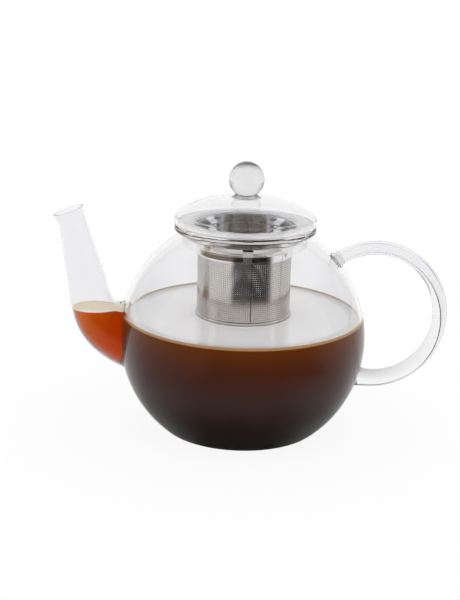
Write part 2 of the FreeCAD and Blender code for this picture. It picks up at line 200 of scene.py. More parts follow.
plain_light = tent.node("ShaderNodeBackground", None, {"Color": white, "Strength": plain_level})
optical = tent.larger(tent.ray("Is Glossy Ray"), tent.ray("Is Transmission Ray"))
light = tent.mix(optical - tent.ray("Diffuse Depth"), plain_light, tent_light)
tent.node("ShaderNodeOutputWorld", None, {"Surface": light})


# Stage, the floor: paper that the camera sees run out to white. In what glass and steel mirror, it is
# dark in front of the pot, as the photographer's side of a table is.
def material(name):
    """A new material and its node tree."""
    made = bpy.data.materials.new(name)
    return made, Tree(made)


paper_tone = (0.90, 0.90, 0.90, 1)
dark_tone = (0.02, 0.02, 0.022, 1)
white_share = 0.9
left_share = 0.93
near_share = 0.75
near_fading = 0.5
floor_half = 6.0
floor_drop = 0.2 * MM
corners = [(-1, -1), (1, -1), (1, 1), (-1, 1)]
floor_points = [(x * floor_half, y * floor_half, -floor_drop) for x, y in corners]
floor_mesh = bpy.data.meshes.new("floor")
floor_mesh.from_pydata(floor_points, [], [(0, 1, 2, 3)])
floor = bpy.data.objects.new("floor", floor_mesh)
scene.collection.objects.link(floor)
paper, tree = material("paper")
place = tree.place()
bearing = tree.bearing(place)
_, depth, _ = tree.axes(place)
far = tree.step(tree.reach(place), 0.16, 0.22)
far_dark = tree.band(bearing, (-0.62, -0.38), (1.0, 1.3))
far_dark = far_dark * (left_share + (1 - left_share) * tree.step(bearing, 0.1, 0.35))
near_dark = near_share - near_fading * tree.step(abs(bearing), 0.3, 1.0)
near_dark = near_dark * tree.step(-depth, -0.04, 0.04)
dark = far_dark * far + near_dark * (1 - far)
in_view = tree.ray("Is Camera Ray")
mirrored_dark = tree.larger(dark * (1 - in_view - tree.ray("Diffuse Depth")), 0.0)
tone = tree.blend(mirrored_dark, paper_tone, dark_tone)
lit_paper = tree.node("ShaderNodeBsdfDiffuse", None, {"Color": tone})
white_paper = tree.node("ShaderNodeEmission", None, {"Color": white, "Strength": 1.0})
surface = tree.mix(white_share * in_view, lit_paper, white_paper)
tree.node("ShaderNodeOutputMaterial", None, {"Surface": surface})
floor_mesh.materials.append(paper)


# Pot: belly, flared rim, spout, tube handle and its two beads, all clear borosilicate glass, blown
# and fused in the flame into one piece, so the walls run into each other with no joint inside.
def refinish(item, smooth_angle=35.0):
    """Smooth shading, except over edges sharper than an angle in degrees."""
    item.data.shade_smooth()
    item.data.set_sharp_from_angle(angle=math.radians(smooth_angle))
    return item


def mesh_object(name, form, smooth_angle=35.0):
    """An object from a bmesh, which is used up."""
    bmesh.ops.recalc_face_normals(form, faces=form.faces)
    mesh = bpy.data.meshes.new(name)
    form.to_mesh(mesh)
    form.free()
    item = bpy.data.objects.new(name, mesh)
    scene.collection.objects.link(item)
    return refinish(item, smooth_angle)


def skin(form, rings, closed):
    """Faces between rings of vertices; a ring of one vertex is a tip."""
    followers = rings[1:] + rings[:1] if closed else rings[1:]
    for ring, following in zip(rings, followers):
        count = max(len(ring), len(following))
        if count == 1:
            continue
        for number in range(count):
            after = (number + 1) % count
            corners = [ring[number % len(ring)], ring[after % len(ring)]]
            corners += [following[after % len(following)], following[number % len(following)]]
            form.faces.new(list(dict.fromkeys(corners)))


def circle(form, radius, height, turns):
    """A ring of vertices round the pot's axis."""
    angles = [2 * math.pi * number / turns for number in range(turns)]
    return [form.verts.new((radius * math.cos(a), radius * math.sin(a), height)) for a in angles]


def turned(name, outline, turns=192, smooth_angle=35.0):
    """A form turned about the pot's axis from an outline of radius and height, in metres."""
    tip_radius = 1e-7
    form = bmesh.new()
    rings = []
    for radius, height in outline:
        if radius < tip_radius:
            rings.append([form.verts.new((0, 0, height))])
        else:
            rings.append(circle(form, radius, height, turns))
    skin(form, rings, closed=len(rings[0]) > 1)
    return mesh_object(name, form, smooth_angle)


def arc(centre, radius, start, end, count):
    """Points on an arc in an outline, from one angle to another in degrees."""
    points = []
    for number in range(count + 1):
        angle = math.radians(start + (end - start) * number / count)
        points.append((centre[0] + radius * math.cos(angle), centre[1] + radius * math.sin(angle)))
    return points


def between(first, last, share):
    return tuple(a + (b - a) * share for a, b in zip(first, last))


def straight(first, last, count):
    """Points between two in an outline, the ends left out."""
    return [between(first, last, number / count) for number in range(1, count)]


def drawn(name, stations, sides):
    """A closed tube through stations of x, z, radius and the rise of its line in degrees."""
    form = bmesh.new()
    sideward = Vector((0, 1, 0))
    rings = []
    for x, z, radius, rise in stations:
        slope = math.radians(rise)
        outward = Vector((-math.sin(slope), 0, math.cos(slope)))
        ring = []
        for number in range(sides):
            angle = 2 * math.pi * number / sides
            spoke = outward * math.cos(angle) + sideward * math.sin(angle)
            ring.append(form.verts.new(Vector((x, 0, z)) + spoke * radius))
        rings.append(ring)
    skin(form, rings, closed=False)
    form.faces.new(rings[0])
    form.faces.new(rings[-1])
    return mesh_object(name, form)


def curve_value(a, b, c, d, t):
    """The value of a smooth curve at a share t between b and c, with a before and d after them."""
    bend = 2 * a - 5 * b + 4 * c - d
    twist = 3 * b - a - 3 * c + d
    return 0.5 * (2 * b + (c - a) * t + bend * t**2 + twist * t**3)


def smooth_run(stations, steps):
    """Stations with a smooth curve's points put between them."""
    before = between(stations[0], stations[1], -1)
    after = between(stations[-1], stations[-2], -1)
    whole = [before, *stations, after]
    points = []
    for four in zip(whole, whole[1:], whole[2:], whole[3:]):
        for step in range(steps):
            points.append([curve_value(*values, step / steps) for values in zip(*four)])
    return [*points, list(stations[-1])]


def combine(target, operation, *tools):
    """Adds or takes other forms from a form, and removes them."""
    for tool in tools:
        modifier = target.modifiers.new("join", "BOOLEAN")
        modifier.operation = operation
        modifier.solver = "EXACT"
        modifier.object = tool
    bpy.context.view_layer.update()
    graph = bpy.context.evaluated_depsgraph_get()
    mesh = bpy.data.meshes.new_from_object(target.evaluated_get(graph))
    target.modifiers.clear()
    old = target.data
    target.data = mesh
    bpy.data.meshes.remove(old)
    for tool in tools:
        bpy.data.objects.remove(tool)


def glass(name, tint, gloss, clear_share=1.0):
    """Clear blown glass: faintly uneven, and lamps shine through it; less clear, it is cloudy."""
    made, tree = material(name)
    place = tree.place()
    waves = tree.noise(place, 34.0, 1.0)
    smear = tree.step(tree.noise(place, 160.0, 3.0), 0.62, 0.9)
    bump = tree.node("ShaderNodeBump", None, {"Strength": 0.03, "Distance": 0.6 * MM, "Height": waves})
    surface = tree.node("ShaderNodeBsdfPrincipled", None, {
        "Base Color": tint, "Roughness": smear * 0.015, "IOR": 1.47,
        "Transmission Weight": clear_share, "Specular Tint": gloss, "Normal": bump})
    clear = tree.node("ShaderNodeBsdfTransparent", None, {"Color": (0.985, 0.985, 0.985, 1)})
    seen = tree.mix(tree.ray("Is Shadow Ray"), surface, clear)
    tree.node("ShaderNodeOutputMaterial", None, {"Surface": seen})
    return made


belly_arc = 72.5 * MM
belly_middle = 57.2 * MM
belly_offset = 2.5 * MM
belly_centre = (belly_offset, belly_middle)
glass_wall = 2.2 * MM
base_wall = 3.0 * MM
base_round = 5.0 * MM
neck_radius = 37.6 * MM
neck_bore = 35.2 * MM
rim_top = 126.5 * MM
rim_half = 1.5 * MM
rim_edge = 41.2 * MM
rim_under = -52.0
lip_round = 1.4 * MM
cut_over = 3.0 * MM
inner_arc = belly_arc - glass_wall


def arc_angle(radius, reach):
    """The angle on a belly arc, above the level, where it is at a distance from the axis."""
    return math.degrees(math.acos((reach - belly_offset) / radius))


def hollow_outline(grow):
    """The belly's inside, grown by a little all round."""
    reach = inner_arc + grow
    low = base_wall - grow
    start = math.degrees(math.asin((low - belly_middle) / reach))
    first = belly_offset + reach * math.cos(math.radians(start))
    outline = [(0, low), *straight((0, low), (first, low), 6)]
    outline += arc(belly_centre, reach, start, arc_angle(reach, neck_bore + grow), 90)
    outline += arc((neck_bore + lip_round, rim_top - lip_round), lip_round - grow, 180, 90, 8)
    outline += [(neck_bore + lip_round, rim_top + cut_over), (0, rim_top + cut_over)]
    return outline


corner_arc = belly_arc - base_round
corner_radius = belly_offset + math.sqrt(corner_arc**2 - (base_round - belly_middle) ** 2)
corner_angle = math.degrees(math.asin((base_round - belly_middle) / corner_arc))
outside = [(0, 0), *straight((0, 0), (corner_radius, 0), 8)]
outside += arc((corner_radius, base_round), base_round, -90, corner_angle, 10)[:-1]
outside += arc(belly_centre, belly_arc, corner_angle, arc_angle(belly_arc, neck_radius), 90)
outside += arc((rim_edge, rim_top - rim_half), rim_half, rim_under, 90, 12)
outside += [(neck_bore + lip_round, rim_top), (0, rim_top)]
pot = turned("pot", outside)
hollow = turned("hollow", hollow_outline(0))

spout_wall = 0.6 * MM
spout_lip = 0.2 * MM
lip_length = 0.02 * MM
bore_over = 0.8 * MM
spout_sides = 128
root = (-50.8, 49.3, 22.5, 160.0)
heel = (-77.1, 58.9, 18.9, 160.0)
knee = (-86.9, 65.5, 15.5, 131.55)
shank = (-92.3, 76.0, 13.1, 103.1)
spout_neck = (-103.85, 125.65, 8.5, 103.1)
mouth = (-106.45, 133.0, 9.3, 109.5)
spout_line = [root, between(root, heel, 0.5), heel, knee, shank]
spout_line += [*straight(shank, spout_neck, 3), spout_neck, mouth]
spout_curve = [[x * MM, z * MM, radius * MM, rise] for x, z, radius, rise in smooth_run(spout_line, 14)]


def spout_tube(name, thinner, lip, further):
    """The spout's outside or bore: thinner by a wall, its end turned by a lip and carried further."""
    stations = [[x, z, radius - thinner, rise] for x, z, radius, rise in spout_curve]
    x, z, radius, rise = stations[-1]
    slope = math.radians(rise)
    for along, turn in ((0.4, 0.25), (0.75, 0.75), (1.0, 1.0)):
        end_x = x + further * along * math.cos(slope)
        end_z = z + further * along * math.sin(slope)
        stations.append([end_x, end_z, radius + lip * turn, rise])
    return drawn(name, stations, spout_sides)


spout = spout_tube("spout", 0, -spout_lip, lip_length)
spout_bore = spout_tube("spout_bore", spout_wall, spout_lip, bore_over)

handle_middle = (80.27 * MM, 73.3 * MM)
handle_reach = 40.0 * MM
handle_rise = 41.5 * MM
handle_start, handle_end = 140.0, -122.0
handle_steps = 260
handle_sides = 96
upper_radius = 4.1 * MM
lower_radius = 5.9 * MM
weld_swell = 1.2 * MM
weld_length = 1.6 * MM


def handle_station(angle):
    """The handle at an angle round its loop, swollen where it meets the belly."""
    share = (angle - handle_start) / (handle_end - handle_start)
    turn = math.radians(angle)
    x = handle_middle[0] + handle_reach * math.cos(turn)
    z = handle_middle[1] + handle_rise * math.sin(turn)
    from_belly = math.hypot(x - belly_offset, z - belly_middle) - belly_arc
    flare = weld_swell * math.exp(-max(0, from_belly) / weld_length)
    radius = upper_radius + (lower_radius - upper_radius) * share**3 + flare
    rise = math.degrees(math.atan2(-handle_rise * math.cos(turn), handle_reach * math.sin(turn)))
    return [x, z, radius, rise]


handle_turn = (handle_end - handle_start) / handle_steps
handle_angles = [handle_start + handle_turn * number for number in range(handle_steps + 1)]
handle = drawn("handle", [handle_station(angle) for angle in handle_angles], handle_sides)

bore_wall = 1.4 * MM
bore_narrow = 0.12
narrow_from, narrow_to = 70.0, -55.0
bore_sides = 80
joint_wall = 1.0 * MM
bore_stations = []
for angle in handle_angles:
    x, z, radius, rise = handle_station(angle)
    share = min(1, max(0, (angle - narrow_from) / (narrow_to - narrow_from)))
    eased = share * share * (3 - 2 * share)
    room = radius - bore_wall
    bore_radius = room * (1 - (1 - bore_narrow) * eased)
    outward = Vector((x - handle_middle[0], z - handle_middle[1])).normalized()
    shift = outward * (room - bore_radius)
    bore_stations.append([x + shift.x, z + shift.y, bore_radius, rise])
handle_bore = drawn("handle_bore", bore_stations, bore_sides)
combine(handle_bore, "DIFFERENCE", turned("joint", hollow_outline(joint_wall)))
combine(pot, "UNION", spout, handle)
combine(pot, "DIFFERENCE", hollow, spout_bore, handle_bore)
refinish(pot, 40)

pot_tint = (0.940, 0.940, 0.948, 1)
pot_gloss = (0.15, 0.15, 0.15, 1)
weld_tint = (0.985, 0.985, 0.965, 1)
weld_angle = 127.0
weld_reach = 4.8 * MM
pot.data.materials.clear()
pot.data.materials.append(glass("pot_glass", pot_tint, pot_gloss))
pot.data.materials.append(glass("weld_glass", weld_tint, white, 0.6))
weld_x, weld_z, *_ = handle_station(weld_angle)
for face in pot.data.polygons:
    face.material_index = int((face.center - Vector((weld_x, 0, weld_z))).length < weld_reach)
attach(pot, "pot")
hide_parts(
    "glass_body", "glass_rim", "glass_spout", "glass_handle", "handle_upper_weld", "handle_lower_weld")

# Tea in the belly: brewed black tea. Its tone is painted by height, nearly black low down and amber at
# the top, as painted light and shade for light that comes in from above. The pale film on top is froth,
# partly a painted reflection of the bright tent. It climbs a little at the glass, and a thin bead of
# froth runs round the basket.
tea_level = 71.5 * MM
tea_overlap = 0.15 * MM
climb = 1.1 * MM
climb_width = 1.3 * MM
climb_past = 1.0 * MM
flat_past = 4.0 * MM
froth_reach = 29.6 * MM
froth_width = 1.4 * MM
froth_height = 0.45 * MM
spout_half = 0.34
spout_fade = 0.1
block_low = -10.0 * MM
block_reach = 140.0 * MM
block_turns = 192
wall_reach = belly_offset + math.sqrt(inner_arc**2 - (tea_level - belly_middle) ** 2)
froth_parts = (-1.0, -0.8, -0.55, -0.3, 0.0, 0.3, 0.55, 0.8, 1.0)
climb_parts = (3, 2.2, 1.6, 1.1, 0.7, 0.4, 0.2, 0.0, -0.3)
tea_steps = 20
tea_radii = [wall_reach * number / tea_steps for number in range(1, tea_steps - 1)]
tea_radii += [froth_reach + froth_width * part for part in froth_parts]
tea_radii += [wall_reach - climb_width * part for part in climb_parts]
tea_radii += [wall_reach + flat_past, block_reach]
tea_radii.sort()


def level_block(name, height_at):
    """A block up to a surface whose height depends on the radius and the angle round the axis."""
    form = bmesh.new()
    rings = [[form.verts.new((0, 0, block_low))], circle(form, block_reach, block_low, block_turns)]
    for radius in reversed(tea_radii):
        ring = circle(form, radius, 0, block_turns)
        for number, vertex in enumerate(ring):
            vertex.co.z = height_at(radius, 2 * math.pi * number / block_turns)
        rings.append(ring)
    rings.append([form.verts.new((0, 0, height_at(0, 0)))])
    skin(form, rings, closed=False)
    return mesh_object(name, form)


def tea_height(radius, angle):
    """The tea's surface in the belly; it doesn't climb where the spout opens."""
    froth = froth_height * max(0, 1 - ((radius - froth_reach) / froth_width) ** 2)
    if radius > wall_reach + climb_past:
        return tea_level + froth
    at_glass = min(1, max(0, (abs(angle - math.pi) - spout_half) / spout_fade))
    rise = climb * math.exp(-max(0, wall_reach - radius) / climb_width)
    return tea_level + rise * at_glass + froth


tea = turned("tea", hollow_outline(tea_overlap))
combine(tea, "INTERSECT", level_block("tea_block", tea_height))
refinish(tea, 50)

# Painted light and shade: the tone steps by height alone, from near black at the bottom to amber at the
# top.
bottom_shade_tone = (0.003, 0.002, 0.002, 1)
painted_height_tones = (
    (4 * MM, 22 * MM, (0.022, 0.012, 0.011, 1)),
    (18 * MM, 40 * MM, (0.070, 0.040, 0.036, 1)),
    (36 * MM, 60 * MM, (0.108, 0.029, 0.015, 1)),
    (56 * MM, 70 * MM, (0.175, 0.042, 0.007, 1)))
# Painted highlight: a cream line along the tea's top millimetre, for light seen through the edge of its
# surface.
painted_highlight_heights = (70.5 * MM, 71.5 * MM)
painted_highlight_tone = (0.66, 0.40, 0.19, 1)
cloud_depth = 6 * MM
dark_tea, tree = material("tea")
place = tree.place()
_, _, height = tree.axes(place)
cloud = tree.noise(place, 40.0, 3.0)
cloudy_height = height + (cloud - 0.5) * cloud_depth
tone = bottom_shade_tone
for low, high, next_tone in painted_height_tones:
    tone = tree.blend(tree.step(cloudy_height, low, high), tone, next_tone)
tone = tree.blend(tree.step(height, *painted_highlight_heights), tone, painted_highlight_tone)
surface = tree.node("ShaderNodeBsdfPrincipled", None, {
    "Base Color": tone, "Roughness": 0.3 + cloud * 0.1, "IOR": 1.333, "Specular IOR Level": 0.0,
    "Sheen Weight": 1.0, "Sheen Roughness": 0.4, "Sheen Tint": (1.0, 0.40, 0.25, 1)})
tree.node("ShaderNodeOutputMaterial", None, {"Surface": surface})

# The film's near-white tones are froth, and partly a painted reflection of the bright tent on the tea.
froth_and_reflection_tones = ((0.94, 0.925, 0.915, 1), (0.995, 0.98, 0.97, 1))
amber_light_tone = (0.80, 0.66, 0.45, 1)
edge_highlight_tone = (0.97, 0.94, 0.89, 1)
tea_film, tree = material("tea_film")
place = tree.place()
_, depth, _ = tree.axes(place)
reach = tree.reach(place)
film = tree.noise(place, 60.0, 4.0)
on_froth = tree.band(reach, (27.8 * MM, 28.6 * MM), (30.4 * MM, 31.6 * MM))
# Painted light: near the glass the film takes a cream painted highlight, and on the front of the spout's
# film an amber tone stands in for light seen through the tea.
in_front = tree.step(-depth, 4 * MM, 11 * MM) * tree.step(reach, 73.5 * MM, 74.5 * MM)
tone = tree.blend(on_froth, tree.blend(film, *froth_and_reflection_tones), white)
painted_edge_tone = tree.blend(in_front, amber_light_tone, edge_highlight_tone)
tone = tree.blend(tree.step(reach, 68.5 * MM, 70.8 * MM), tone, painted_edge_tone)
surface = tree.node("ShaderNodeBsdfPrincipled", None, {
    "Base Color": tone, "Roughness": 0.12 + film * 0.1, "IOR": 1.45})
tree.node("ShaderNodeOutputMaterial", None, {"Surface": surface})

film_slope = 0.35
film_depth = 1.0 * MM
tea.data.materials.clear()
tea.data.materials.append(dark_tea)
tea.data.materials.append(tea_film)
for face in tea.data.polygons:
    face.material_index = int(face.normal.z > film_slope and face.center.z > tea_level - film_depth)
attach(tea, "pot")
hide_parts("tea")

# Tea in the spout: the same brew, clear amber because it is thin here, under the same film. A hair of
# air is left between it and the glass, and it stands a little higher in the narrow tube.
tea_gap = 0.03 * MM
tea_apart = 0.05 * MM
tea_end = 0.1 * MM
spout_climb = 1.6 * MM
spout_level = tea_level + spout_climb
tea_spout = spout_tube("tea_spout", spout_wall + tea_gap, 0, tea_end)
combine(tea_spout, "DIFFERENCE", turned("tea_reach", hollow_outline(tea_overlap + tea_apart)))
combine(tea_spout, "INTERSECT", level_block("spout_block", lambda radius, angle: spout_level))
refinish(tea_spout, 50)

brew_tone = (0.90, 0.60, 0.02, 1)
brew_density = 230.0
amber_shadow = (0.75, 0.35, 0.08, 1)
clear_tea, tree = material("clear_tea")
smear = tree.noise(tree.place(), 120.0, 2.0)
surface = tree.node("ShaderNodeBsdfPrincipled", None, {
    "Base Color": white, "Roughness": smear * 0.03, "IOR": 1.333, "Transmission Weight": 1.0,
    "Specular Tint": pot_gloss})
clear = tree.node("ShaderNodeBsdfTransparent", None, {"Color": amber_shadow})
seen = tree.mix(tree.ray("Is Shadow Ray"), surface, clear)
brew = tree.node("ShaderNodeVolumeAbsorption", None, {"Color": brew_tone, "Density": brew_density})
tree.node("ShaderNodeOutputMaterial", None, {"Surface": seen, "Volume": brew})

flat_slope = 0.9
tea_spout.data.materials.clear()
tea_spout.data.materials.append(clear_tea)
tea_spout.data.materials.append(tea_film)
for face in tea_spout.data.polygons:
    face.material_index = int(face.normal.z > flat_slope and face.center.z > tea_level)
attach(tea_spout, "pot")
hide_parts("tea")


# Infuser ring: pressed from stainless sheet, polished: a flange that sits on the rim, a bend, a
# collar inside the neck with three slots, a shoulder and a band that holds the basket.
def steel(name, tint, rough, grain, painted_shade=None):
    """Polished stainless steel with a fine drawn grain round it, and darkened with painted shade where a
    mask is given.
    """
    made, tree = material(name)
    place = tree.place()
    lines = tree.node("ShaderNodeMapping", None, {"Vector": place, "Scale": (60.0, 60.0, 2600.0)})
    relief = tree.noise(lines, 1.0, 2.0)
    smear = tree.noise(place, 220.0, 3.0)
    bump = tree.node("ShaderNodeBump", None, {"Strength": grain, "Distance": 0.1 * MM, "Height": relief})
    bare = 1.0
    if painted_shade:
        tint, bare = painted_shade(tree, place, tint)
    surface = tree.node("ShaderNodeBsdfPrincipled", None, {
        "Base Color": tint, "Metallic": bare, "Roughness": rough + smear * 0.08, "Normal": bump})
    tree.node("ShaderNodeOutputMaterial", None, {"Surface": surface})
    return made


def painted_band_shade(tree, place, tint):
    """Painted shade on the band under the shoulder, from towards the spout round to a little past the
    front.
    """
    band_shade_tone = (0.20, 0.165, 0.125, 1)
    _, _, height = tree.axes(place)
    mask = tree.band(height, (110.2 * MM, 110.8 * MM), (113.0 * MM, 113.6 * MM))
    mask = mask * tree.band(tree.bearing(place), (-1.25, -0.95), (0.42, 0.55))
    return tree.blend(mask, tint, band_shade_tone), 1.0


def painted_inside_streaks(tree, place, tint):
    """Painted shade: dull brown streaks down the inside, at the front and the back."""
    streak_shade_tone = (0.44, 0.36, 0.25, 1)
    dull_share = 0.3
    faint_share = 0.6
    stretched = tree.node("ShaderNodeMapping", None, {"Vector": place, "Scale": (260.0, 260.0, 12.0)})
    streaks = tree.step(tree.noise(stretched, 1.0, 3.0), 0.35, 0.65)
    x, _, _ = tree.axes(place)
    unshaded = tree.step(abs(x), 12.5 * MM, 14.5 * MM)
    unshaded = unshaded + (1 - unshaded) * streaks * faint_share
    return tree.blend(unshaded, streak_shade_tone, tint), (1 - dull_share) + dull_share * unshaded


seat = 126.6 * MM
sheet = 0.6 * MM
flange_radius = 41.0 * MM
flange_bend = 1.8 * MM
collar_radius = 34.2 * MM
collar_foot = 30.3 * MM
shoulder_top = 114.2 * MM
shoulder_low = 113.6 * MM
shoulder_bevel = 0.3 * MM
shoulder_share = 0.7
bead = 0.9 * MM
band_radius = 28.9 * MM
band_low = 109.8 * MM
bend_middle = (collar_radius + flange_bend, seat - flange_bend)


def pressed(offset):
    """The ring's outer face, from the flange's edge to the band's lower edge, moved in by an offset."""
    line = [(flange_radius, seat + offset)]
    line += arc(bend_middle, flange_bend + offset, 90, 180, 10)
    line += straight(line[-1], (collar_foot - offset, shoulder_top + bead), 6)
    line += arc((collar_foot - bead, shoulder_top + bead), bead - offset, 0, -70, 6)
    line += [(band_radius + shoulder_bevel - offset, shoulder_low + offset * shoulder_share)]
    line += [(band_radius - offset, shoulder_low - shoulder_bevel), (band_radius - offset, band_low)]
    return line


strap_turns = {"front": -87.0, "right": 33.0, "left": 153.0}
slot_low, slot_high = 116.7 * MM, 120.3 * MM
slot_half = 3.2 * MM
slot_reach = 31.1 * MM
slot_depth = 6.0 * MM
ring = turned("infuser_ring", pressed(0) + pressed(sheet)[::-1])
for side, turn in strap_turns.items():
    form = bmesh.new()
    bmesh.ops.create_cube(form, size=1.0)
    bmesh.ops.scale(form, verts=form.verts, vec=(slot_depth, 2 * slot_half, slot_high - slot_low))
    bmesh.ops.translate(form, verts=form.verts, vec=(slot_reach, 0, (slot_low + slot_high) / 2))
    form.transform(Matrix.Rotation(math.radians(turn), 4, "Z"))
    combine(ring, "DIFFERENCE", mesh_object(f"slot_{side}", form))
refinish(ring, 40)

ring_tint = (0.90, 0.885, 0.865, 1)
inside_tint = (0.93, 0.92, 0.90, 1)
inward_slope = -0.5
ring.data.materials.clear()
ring.data.materials.append(steel("ring_steel", ring_tint, 0.05, 0.05, painted_band_shade))
ring.data.materials.append(steel("ring_inside", inside_tint, 0.05, 0.05, painted_inside_streaks))
for face in ring.data.polygons:
    outward = Vector((face.center.x, face.center.y, 0)).normalized()
    face.material_index = int(face.normal.dot(outward) < inward_slope)
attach(ring, "infuser")
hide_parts("infuser_ring")

# Basket wall: stainless sheet with rows of fine etched holes, rolled round and held by the ring's
# band. Its inner faces are painted dark brown, as painted shade.
wall_radius = 28.3 * MM
wall_sheet = 0.5 * MM
wall_low = 72.0 * MM
wall_high = 113.6 * MM
hole_pitch = 1.25 * MM
hole_radius = 0.38 * MM
holes_low, holes_high = 74.4 * MM, 108.9 * MM
columns = 2 * round(math.pi * wall_radius / hole_pitch)
column_angle = 2 * math.pi / columns
rows = round((holes_high - holes_low) / hole_pitch)
row_height = (holes_high - holes_low) / rows


def rolled(form, radius, bearing, height):
    """A vertex on a rolled sheet."""
    return form.verts.new((radius * math.cos(bearing), radius * math.sin(bearing), height))


def hole_rim(form, radius, bearing, height):
    """The six corners of a hole in a rolled sheet."""
    rim = []
    for degrees in (-150, -90, -30, 30, 90, 150):
        angle = math.radians(degrees)
        turn = hole_radius * math.cos(angle) / wall_radius
        rim.append(rolled(form, radius, bearing + turn, height + hole_radius * math.sin(angle)))
    return rim


def sheet_side(form, radius, heights, bearings, first, count, extra):
    """One side of a perforated sheet; gives its outer edges and the rims of its holes."""
    whole = count == columns
    wide = len(bearings)
    grid = [[rolled(form, radius, bearing, height) for bearing in bearings] for height in heights]
    for row in range(rows + 2):
        for place in range(wide - (not whole)):
            if 0 < row <= rows and place >= extra:
                continue
            after = (place + 1) % wide
            corners = [grid[row][place], grid[row][after], grid[row + 1][after], grid[row + 1][place]]
            form.faces.new(corners).material_index = int(place < extra)
    rims = []
    for row in range(1, rows + 1):
        for column in range(count):
            left = 2 * column + extra
            places = [left, left + 1, (left + 2) % wide]
            around = [grid[row][place] for place in places]
            around += [grid[row + 1][place] for place in places[::-1]]
            middle = (first + column + 0.5) * column_angle
            rim = hole_rim(form, radius, middle, (heights[row] + heights[row + 1]) / 2)
            skin(form, [around, rim], closed=False)
            rims.append(rim)
    if whole:
        return [grid[0], grid[-1]], rims
    last_edge = [line[-1] for line in grid[1:]]
    first_edge = [line[0] for line in grid[-2:0:-1]]
    return [grid[0] + last_edge + grid[-1][-2::-1] + first_edge], rims


def perforated(name, outer, thickness, first, count, low, high, edge=0.0):
    """A rolled sheet with square rows of holes, some columns wide or all the way round; a strip along
    its first edge, when given, takes the second material, a painted shadow line.
    """
    form = bmesh.new()
    heights = [low, *[holes_low + row * row_height for row in range(rows + 1)], high]
    bearings = [(first + half / 2) * column_angle for half in range(2 * count + (count < columns))]
    extra = int(edge > 0)
    if extra:
        bearings.insert(0, bearings[0] - edge / outer)
    outer_edges, outer_rims = sheet_side(form, outer, heights, bearings, first, count, extra)
    inner_edges, inner_rims = sheet_side(form, outer - thickness, heights, bearings, first, count, extra)
    for outer_loop, inner_loop in zip(outer_edges + outer_rims, inner_edges + inner_rims):
        skin(form, [outer_loop, inner_loop], closed=False)
    return mesh_object(name, form, 30)


wall = perforated("infuser_wall", wall_radius, wall_sheet, 0, columns, wall_low, wall_high)
basket_steel = steel("basket_steel", (0.70, 0.67, 0.63, 1), 0.12, 0.03)
# Painted shade: the wall's inner faces get this dark brown steel.
inside_steel = steel("inside_steel", (0.25, 0.215, 0.175, 1), 0.25, 0.03)
inside_share = 0.6
inside_reach = wall_radius - inside_share * wall_sheet
wall.data.materials.append(basket_steel)
wall.data.materials.append(inside_steel)
for face in wall.data.polygons:
    face.material_index = int(math.hypot(face.center.x, face.center.y) < inside_reach)
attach(wall, "infuser")
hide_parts("infuser_wall")

# Basket floor: a disc of the same perforated sheet, pressed into the wall's foot. Its holes are in
# staggered rows, and a plain margin is left round them.
floor_radius = 27.8 * MM
floor_low = 72.6 * MM
floor_sheet = 0.5 * MM
floor_margin = 2.2 * MM
floor_sides = 128
row_pitch = 0.87 * hole_pitch
keep_holes = 4
same_point = 1e-7
points, edges = [], []


def loop(middle, radius, count):
    """Adds a closed outline to the points and edges of the floor."""
    start = len(points)
    points.extend(Vector(point) for point in arc(middle, radius, 0, 360, count)[:-1])
    edges.extend((start + number, start + (number + 1) % count) for number in range(count))


loop((0, 0), floor_radius, floor_sides)
half_count = int(floor_radius / hole_pitch) + 1
for row in range(-half_count, half_count + 1):
    for column in range(-half_count, half_count + 1):
        middle = ((column + 0.5 * (row % 2)) * hole_pitch, row * row_pitch)
        if math.hypot(*middle) < floor_radius - floor_margin:
            loop(middle, hole_radius, 6)
flat, _, faces, *_ = delaunay_2d_cdt(points, edges, [], keep_holes, same_point)
form = bmesh.new()
verts = [form.verts.new((point.x, point.y, floor_low)) for point in flat]
for face in faces:
    form.faces.new([verts[number] for number in face])
raised = bmesh.ops.extrude_face_region(form, geom=form.faces[:])
lifted = [item for item in raised["geom"] if isinstance(item, bmesh.types.BMVert)]
bmesh.ops.translate(form, verts=lifted, vec=(0, 0, floor_sheet))
basket_floor = mesh_object("infuser_floor", form, 30)
basket_floor.data.materials.append(basket_steel)
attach(basket_floor, "infuser")
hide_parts("infuser_floor")

# Basket hem: a plain band of the same steel, rolled round the wall's lower edge and spot welded, so
# that the cut edge of the wall is covered.
hem_radius = 28.6 * MM
hem_low, hem_high = 72.3 * MM, 73.5 * MM
hem_round = 0.3 * MM
hem_outline = arc((hem_radius, hem_high), hem_round, 0, 180, 8)
hem_outline += arc((hem_radius, hem_low), hem_round, 180, 360, 8)
hem = turned("infuser_hem", hem_outline, 160)
hem.data.materials.append(basket_steel)
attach(hem, "infuser")
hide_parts("infuser_hem")

# Basket seam: where the rolled sheet laps over itself and is spot welded. Its holes lie over the
# wall's, and a dark strip along its cut edge is a painted shadow line.
seam_first = 110
seam_columns = 2
seam_sheet = 0.3 * MM
seam_gap = 0.02 * MM
seam_shadow_width = 0.45 * MM
seam_low = 73.8 * MM
seam_radius = wall_radius + seam_sheet
seam_lap = seam_sheet - seam_gap
seam = perforated(
    "infuser_seam", seam_radius, seam_lap, seam_first, seam_columns, seam_low, band_low, seam_shadow_width)
seam.data.materials.append(basket_steel)
# Painted shadow: the dark steel of the strip along the lap's cut edge.
seam.data.materials.append(steel("seam_shade", (0.10, 0.095, 0.09, 1), 0.35, 0.05))
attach(seam, "infuser")
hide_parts("infuser_seam")


